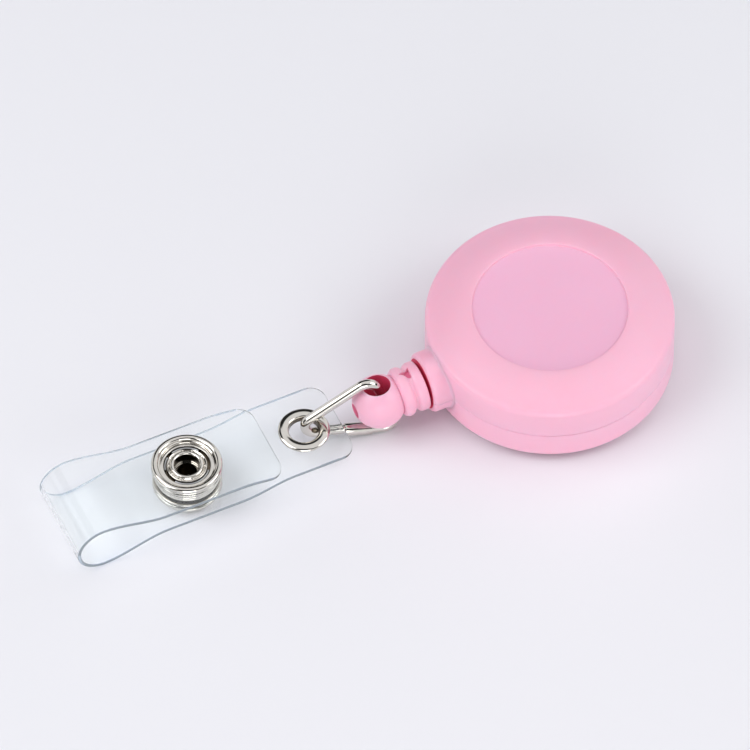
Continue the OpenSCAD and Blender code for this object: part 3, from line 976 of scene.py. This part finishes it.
def tangent_corner(top, low):
    """Where the lines from top and low that touch the eyelet's bend would meet."""
    lines = []
    for p, sign in ((top, 1), (low, -1)):
        to_centre = EYELET_BEND - p
        reach = to_centre.length
        lean = math.asin(EYELET_BEND_R / reach)
        turn = Matrix.Rotation(sign * lean, 3, RING_NORMAL)
        lines.append((p, (turn @ to_centre).normalized()))
    (p, d), (q, e) = lines
    w = p - q
    b = d.dot(e)
    s = (b * e.dot(w) - d.dot(w)) / (1 - b * b)
    return p + d * s


def build_ring():
    """The bent wire, whose ends meet in a sleeve on its low side."""
    eyelet, top, low = ring_corners()
    # Share of the low side between the eyelet's corner and the sleeve's middle
    sleeve_at = 0.62
    middle = eyelet + (low - eyelet) * sleeve_at
    gap = (low - eyelet).normalized() * 0.08 * MM
    path = (
        [middle + gap]
        + bend_points(eyelet, low, top, CORNER_BEND_R, 16)
        + bend_points(low, top, eyelet, CORNER_BEND_R, 16)
        + bend_points(top, eyelet, low, EYELET_BEND_R, 20)
        + [middle - gap])
    bm = bmesh.new()
    sweep(bm, path, WIRE_R, 32, RING_NORMAL)
    ring = new_object("wire_triangle", bm)
    finish_piece(ring, "ring", NICKEL, ["wire_ring"])

    along = (low - eyelet).to_track_quat("Z", "Y").to_matrix().to_4x4()
    half = 1.8 * MM
    outer = 0.84 * MM
    chamfer = 0.1 * MM
    profile = (
        arc(outer - chamfer, -half + chamfer, chamfer, -90, 0, 5)
        + arc(outer - chamfer, half - chamfer, chamfer, 0, 90, 5)
        + [(WIRE_R, half), (WIRE_R, -half)])
    sleeve_bm = bmesh.new()
    lathe(sleeve_bm, profile, Matrix.Translation(middle) @ along, segments=48)
    sleeve = new_object("ring_ferrule", sleeve_bm)
    finish_piece(sleeve, "ring", NICKEL, ["ring_sleeve"])


build_ring()


# ---- Strap ----

def strap_line():
    """The strap's middle line as (x, z), from its end at the eyelet round the fold to the flap's end."""
    snap_flat = 5.2 * MM
    flat_x = EYELET.x - 3.9 * MM
    eyelet_z = (base_hi.z + (base_hi.z - STRAP_T)) / 2
    snap_base = 2.2 * MM
    snap_flap = 5.2 * MM
    flap_end_z = 4.45 * MM
    steps = 14
    low = LOOP_X, loop_lo.z + STRAP_T / 2
    high = LOOP_X, loop_hi.z - STRAP_T / 2

    def curve(p, q, n=steps):
        run = q[0] - p[0]
        rise = q[1] - p[1]
        return [(p[0] + run * i / n, p[1] + rise * smoothstep(i / n)) for i in range(n + 1)]

    centre_z = (low[1] + high[1]) / 2
    lower = (
        curve((base_hi.x, eyelet_z), (flat_x, eyelet_z), 10)
        + curve((flat_x, eyelet_z), (SNAP.x + snap_flat, snap_base))[1:]
        + curve((SNAP.x + snap_flat, snap_base), (SNAP.x - snap_flat, snap_base), 8)[1:]
        + curve((SNAP.x - snap_flat, snap_base), low)[1:])
    fold = arc(LOOP_X, centre_z, LOOP_R, 270, 90, 90)[1:]
    flap = (
        curve(high, (SNAP.x - snap_flat, snap_flap))
        + curve((SNAP.x - snap_flat, snap_flap), (SNAP.x + snap_flat, snap_flap), 8)[1:]
        + curve((SNAP.x + snap_flat, snap_flap), (flap_end_x, flap_end_z), 8)[1:])
    return lower, fold, flap


def flat_sheet(length, holes):
    """A flat sheet along +X from 0, with holes of (x, r) on its middle line and rounded corners and edges."""
    corner = 2.0 * MM
    half = STRAP_W / 2
    edge = 0.07 * MM
    curve = bpy.data.curves.new("sheet", "CURVE")
    curve.dimensions = "2D"
    curve.fill_mode = "BOTH"
    curve.extrude = STRAP_T / 2 - edge
    curve.bevel_depth = edge
    curve.bevel_resolution = 2
    x0 = edge + corner
    x1 = length - edge - corner
    y1 = half - edge - corner
    outline = (
        arc(x0, -y1, corner, 180, 270)
        + arc(x1, -y1, corner, 270, 360)
        + arc(x1, y1, corner, 0, 90)
        + arc(x0, y1, corner, 90, 180))
    hole_points = 48
    last = 360 - 360 / hole_points
    loops = [outline] + [arc(x, 0, r + edge, 0, last, hole_points - 1) for x, r in holes]
    for loop in loops:
        spline = curve.splines.new("POLY")
        spline.points.add(len(loop) - 1)
        for point, (x, y) in zip(spline.points, loop):
            point.co = (x, y, 0, 1)
        spline.use_cyclic_u = True
    holder = bpy.data.objects.new("sheet", curve)
    bpy.context.scene.collection.objects.link(holder)
    bpy.context.view_layer.update()
    mesh = bpy.data.meshes.new_from_object(holder.evaluated_get(bpy.context.evaluated_depsgraph_get()))
    bpy.data.objects.remove(holder)
    bm = bmesh.new()
    bm.from_mesh(mesh)
    bpy.data.meshes.remove(mesh)
    return bm


def bend_sheet(bm, line):
    """Lays a flat sheet along a line of (x, z) points."""
    distances = [0.0]
    for (x0, z0), (x1, z1) in zip(line, line[1:]):
        distances.append(distances[-1] + math.hypot(x1 - x0, z1 - z0))
    for d in distances[1:-1]:
        geometry = bm.verts[:] + bm.edges[:] + bm.faces[:]
        bmesh.ops.bisect_plane(bm, geom=geometry, plane_co=(d, 0, 0), plane_no=(1, 0, 0), dist=1e-7)
    for vertex in bm.verts:
        d = vertex.co.x
        i = 0
        while i < len(distances) - 2 and distances[i + 1] < d:
            i += 1
        t = (d - distances[i]) / (distances[i + 1] - distances[i])
        (x0, z0), (x1, z1) = line[i], line[i + 1]
        tangent = tangent_at(line, i, t)
        normal = Vector((-tangent.y, tangent.x))
        h = vertex.co.z
        x = x0 + (x1 - x0) * t - normal.x * h
        z = z0 + (z1 - z0) * t - normal.y * h
        vertex.co = Vector((x, STRAP_Y + vertex.co.y, z))


def tangent_at(line, i, t):
    """The direction of a line of points, smooth from point to point."""
    def at(k):
        a = line[max(k - 1, 0)]
        b = line[min(k + 1, len(line) - 1)]
        return Vector((b[0] - a[0], b[1] - a[1])).normalized()
    return (at(i) * (1 - t) + at(i + 1) * t).normalized()


def length_of(line):
    """The length of a line of points."""
    return sum(math.hypot(b[0] - a[0], b[1] - a[1]) for a, b in zip(line, line[1:]))


def distance_to_x(line, x):
    """How far along a line it first passes x."""
    walked = 0.0
    for (x0, z0), (x1, z1) in zip(line, line[1:]):
        step = math.hypot(x1 - x0, z1 - z0)
        if min(x0, x1) <= x <= max(x0, x1) and x0 != x1:
            return walked + step * (x - x0) / (x1 - x0)
        walked += step
    return walked


def build_strap():
    """One sheet, folded round the loop, laid along the strap below and the flap above."""
    lower, fold, flap = strap_line()
    whole = lower + fold + flap[1:]
    to_flap = length_of(lower + fold)
    holes = [
        (distance_to_x(whole, EYELET.x), EYELET_HOLE_R),
        (distance_to_x(whole, SNAP.x), STUD_HOLE_R),
        (to_flap + distance_to_x(flap, SNAP.x), CAP_HOLE_R)]
    edge_y = STRAP_W / 2 - 0.09 * MM
    bm = flat_sheet(length_of(whole), holes)
    bend_sheet(bm, whole)
    strap = new_object("clear_strap", bm, 40)
    finish_piece(strap, None, VINYL)
    mark_faces(strap, VINYL_EDGE, lambda at: abs(at.y - STRAP_Y) > edge_y)
    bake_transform(strap)
    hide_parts("strap_base", "strap_loop", "strap_flap")


build_strap()


# ---- Eyelet and snap ----

def turned_piece(name, profile, centre, body, node, segments=96):
    """A nickel piece turned about the vertical through centre, which stands for a CAD node."""
    bm = bmesh.new()
    lathe(bm, profile, Matrix.Translation((centre.x, centre.y, 0)), segments)
    return finish_piece(new_object(name, bm, 38), body, NICKEL, [node])


def build_eyelet():
    """The eyelet's rolled flange and barrel, and the washer behind the strap."""
    face = base_hi.z
    low = eye_lo.z
    hole = 1.95 * MM
    outer = EYELET_HOLE_R
    half = (EYELET_R - hole) / 2
    crest = eye_hi.z - face
    turns = [math.radians(8 + 10 * i) for i in range(18)]
    arch = [(hole + half * (1 + math.cos(a)), face + crest * math.sin(a)) for a in turns]
    flange = (
        [(outer, face), (EYELET_R - 0.02 * MM, face)]
        + arch
        + [(hole, face - 0.1 * MM), (hole, low + 0.1 * MM)]
        + arc(hole + 0.1 * MM, low + 0.1 * MM, 0.1 * MM, 180, 270, 4)
        + [(outer, low)])
    eyelet = turned_piece("eyelet_flange", flange, EYELET, "strap", "eyelet")
    mark_faces(eyelet, SHADED_NICKEL, lambda at: at.z < face)
    washer_lo, washer_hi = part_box("eyelet_washer")
    r = (washer_hi.x - washer_lo.x) / 2
    inner = outer + 0.01 * MM
    washer = (
        [(inner, washer_hi.z), (r - 0.05 * MM, washer_hi.z)]
        + arc(r - 0.1 * MM, washer_hi.z - 0.12 * MM, 0.1 * MM, 60, -60, 5)
        + arc(r - 0.55 * MM, washer_lo.z + 0.2 * MM, 0.2 * MM, -50, -130, 5)
        + [(inner, washer_lo.z + 0.04 * MM)])
    turned_piece("eyelet_backing", washer, EYELET, "strap", "eyelet_washer")


def build_snap():
    """The cap: a high rolled rim, a sloped ledge, a deep groove and a low crimped hub round the hole."""
    face = flap_face_z()
    hole = 1.6 * MM
    rim = 0.46 * MM
    hub = 0.3 * MM
    low = cap_lo.z
    crest = cap_hi.z - rim
    hub_z = face + 0.14 * MM
    groove_in = 2.62 * MM
    groove_out = 3.0 * MM
    sheet = 0.1 * MM
    deep = face - 0.42 * MM
    cap = (
        [(hole, low), (groove_in - sheet, low), (groove_in - sheet, deep - sheet)]
        + [(groove_out + sheet, deep - sheet), (groove_out + sheet, face), (SNAP_R - 0.22 * MM, face)]
        + arc(SNAP_R - 0.12 * MM, face + 0.12 * MM, 0.1 * MM, -90, 60, 5)
        + arc(SNAP_R - rim - 0.02 * MM, crest, rim, -20, 165, 20)
        + arc(SNAP_R - 2 * rim - 0.34 * MM, face + 0.36 * MM, 0.2 * MM, 20, -60, 4)
        + arc(groove_out + sheet, face + 0.14 * MM, 0.1 * MM, 90, 180, 4)
        + [(groove_out, deep), (groove_in, deep)]
        + arc(groove_in - 0.12 * MM, hub_z, 0.12 * MM, 0, 90, 4)
        + [(groove_in - 0.3 * MM, hub_z + 0.02 * MM)]
        + arc(hole + hub, hub_z + 0.06 * MM, hub, 20, 180, 12))
    piece = turned_piece("snap_top_ring", cap, SNAP, "flap", "snap_cap", 144)
    mark_faces(piece, SHADED_NICKEL, lambda at: in_snap_shade(at, hole, groove_in, groove_out, hub_z))
    build_crimps(hub_z + 0.06 * MM)
    build_groove_wire((groove_in + groove_out) / 2, face - 0.02 * MM)


def off_snap_axis(at):
    """Distance from the snap's own axis."""
    return math.hypot(at.x - SNAP.x, at.y - SNAP.y)


def in_snap_shade(at, hole, groove_in, groove_out, top):
    """True on the wall of the snap's hole and in its groove."""
    r = off_snap_axis(at)
    in_groove = groove_in - 0.02 * MM < r < groove_out + 0.02 * MM
    return at.z < top and (r < hole + 0.04 * MM or in_groove)


def build_crimps(z):
    """Small crimp beads round the hub."""
    count = 10
    ring_r = 2.3 * MM
    bead = [(0, -0.12 * MM), (0.12 * MM, -0.12 * MM)] + arc(0, -0.02 * MM, 0.15 * MM, 0, 90, 5)
    bm = bmesh.new()
    for k in range(count):
        a = TAU * (k + 0.3) / count
        place = Matrix.Translation((SNAP.x + ring_r * math.cos(a), SNAP.y + ring_r * math.sin(a), z))
        turned = place @ Matrix.Rotation(a, 4, "Z") @ Matrix.Diagonal((0.9, 1.9, 1, 1))
        lathe(bm, bead, turned, 16)
    crimps = new_object("snap_hub_crimps", bm)
    finish_piece(crimps, "flap", NICKEL)


def build_groove_wire(radius, z):
    """The retaining wire, which shows in the groove in three short lengths."""
    bm = bmesh.new()
    for start, end in ((35, 108), (128, 168), (214, 322)):
        path = [Vector((SNAP.x + x, SNAP.y + y, z)) for x, y in arc(0, 0, radius, start, end, 24)]
        sweep(bm, path, 0.12 * MM, 12)
    wires = new_object("snap_groove_wire", bm)
    finish_piece(wires, "flap", STEEL)


def build_socket():
    """The socket under the flap: three rolled bands round the bore that the stud clips into."""
    lo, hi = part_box("snap_socket")
    spring_lo, spring_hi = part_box("snap_spring")
    outer = (hi.x - lo.x) / 2
    bore = 2.56 * MM
    groove = 2.9 * MM
    gap = 0.03 * MM
    pitch = (hi.z - lo.z) / 3
    bulge = pitch * 0.46
    profile = [
        (bore, hi.z), (bore, spring_hi.z + gap), (groove, spring_hi.z + gap),
        (groove, spring_lo.z - gap), (bore, spring_lo.z - gap), (bore, lo.z)]
    insets = (0.3 * MM, 0.12 * MM, 0)
    for k, inset in enumerate(insets):
        profile += arc(outer - inset - bulge, lo.z + pitch * (k + 0.5), bulge, -85, 85, 10)
    turned_piece("snap_socket_bands", profile, SNAP, "flap", "snap_socket")


def build_stud():
    """The stud on the lower layer."""
    lo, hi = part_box("snap_stud")
    outer = (hi.x - lo.x) / 2
    bore = STUD_BORE_R
    neck = 1.95 * MM
    head = 2.15 * MM
    edge = 0.17 * MM
    fillet = 0.25 * MM
    stud = (
        [(bore, lo.z), (outer - edge, lo.z)]
        + arc(outer - edge, lo.z + edge, edge, -90, 90, 10)
        + [(outer - 0.7 * MM, lo.z + 0.28 * MM)]
        + arc(neck + fillet, lo.z + 0.3 * MM + fillet, fillet, 270, 180, 6)
        + [(neck, hi.z - 0.85 * MM), (head, hi.z - 0.65 * MM)]
        + arc(head - 0.35 * MM, hi.z - 0.35 * MM, 0.35 * MM, 10, 90, 8)
        + [(bore, hi.z)])
    turned_piece("snap_stud_head", stud, SNAP, "strap", "snap_stud")


def build_stud_post():
    """The domed eyelet under the strap, whose barrel holds the stud."""
    lo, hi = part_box("snap_post")
    outer = (hi.x - lo.x) / 2
    barrel = STUD_BORE_R - 0.04 * MM
    inside = barrel - 0.25 * MM
    floor = lo.z + 0.4 * MM
    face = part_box("snap_stud")[0].z - STRAP_T
    roll = 0.32 * MM
    dome = 0.8 * MM
    post = (
        [(0, floor), (inside, floor), (inside, hi.z), (barrel, hi.z), (barrel, face)]
        + arc(outer - roll, face - roll, roll, 90, -40, 12)
        + arc(outer - 1.3 * MM, lo.z + dome, dome, -30, -90, 8)
        + [(0, lo.z)])
    piece = turned_piece("snap_post_dome", post, SNAP, "strap", "snap_post")
    mark_faces(piece, SHADED_NICKEL, lambda at: in_post_bore(at, inside, floor))


def in_post_bore(at, inside, floor):
    """True on the wall and the floor of the post's bore."""
    return off_snap_axis(at) < inside + 0.02 * MM and at.z > floor - 0.1 * MM


def flap_face_z():
    """Height of the flap's upper face at the snap."""
    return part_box("snap_socket")[1].z + STRAP_T


build_eyelet()
build_snap()
build_socket()
build_stud()
build_stud_post()


# ---- CAD nodes that keep their own shape ----

def dress(node, material):
    """Gives a CAD node that stays in view its material."""
    obj = frame["nodes"][node]
    obj.data.materials.clear()
    obj.data.materials.append(material)


for kept in ("snap_spring", "spring_cover", "power_spring", "clip_plate", "clip_tongue", "clip_rivet"):
    dress(kept, STEEL)
for kept in ("cord_lead", "cord_winding", "cord_anchor_knot", "cord_end_knot"):
    dress(kept, CORD)
dress("spool", WHITE)

build_stage()
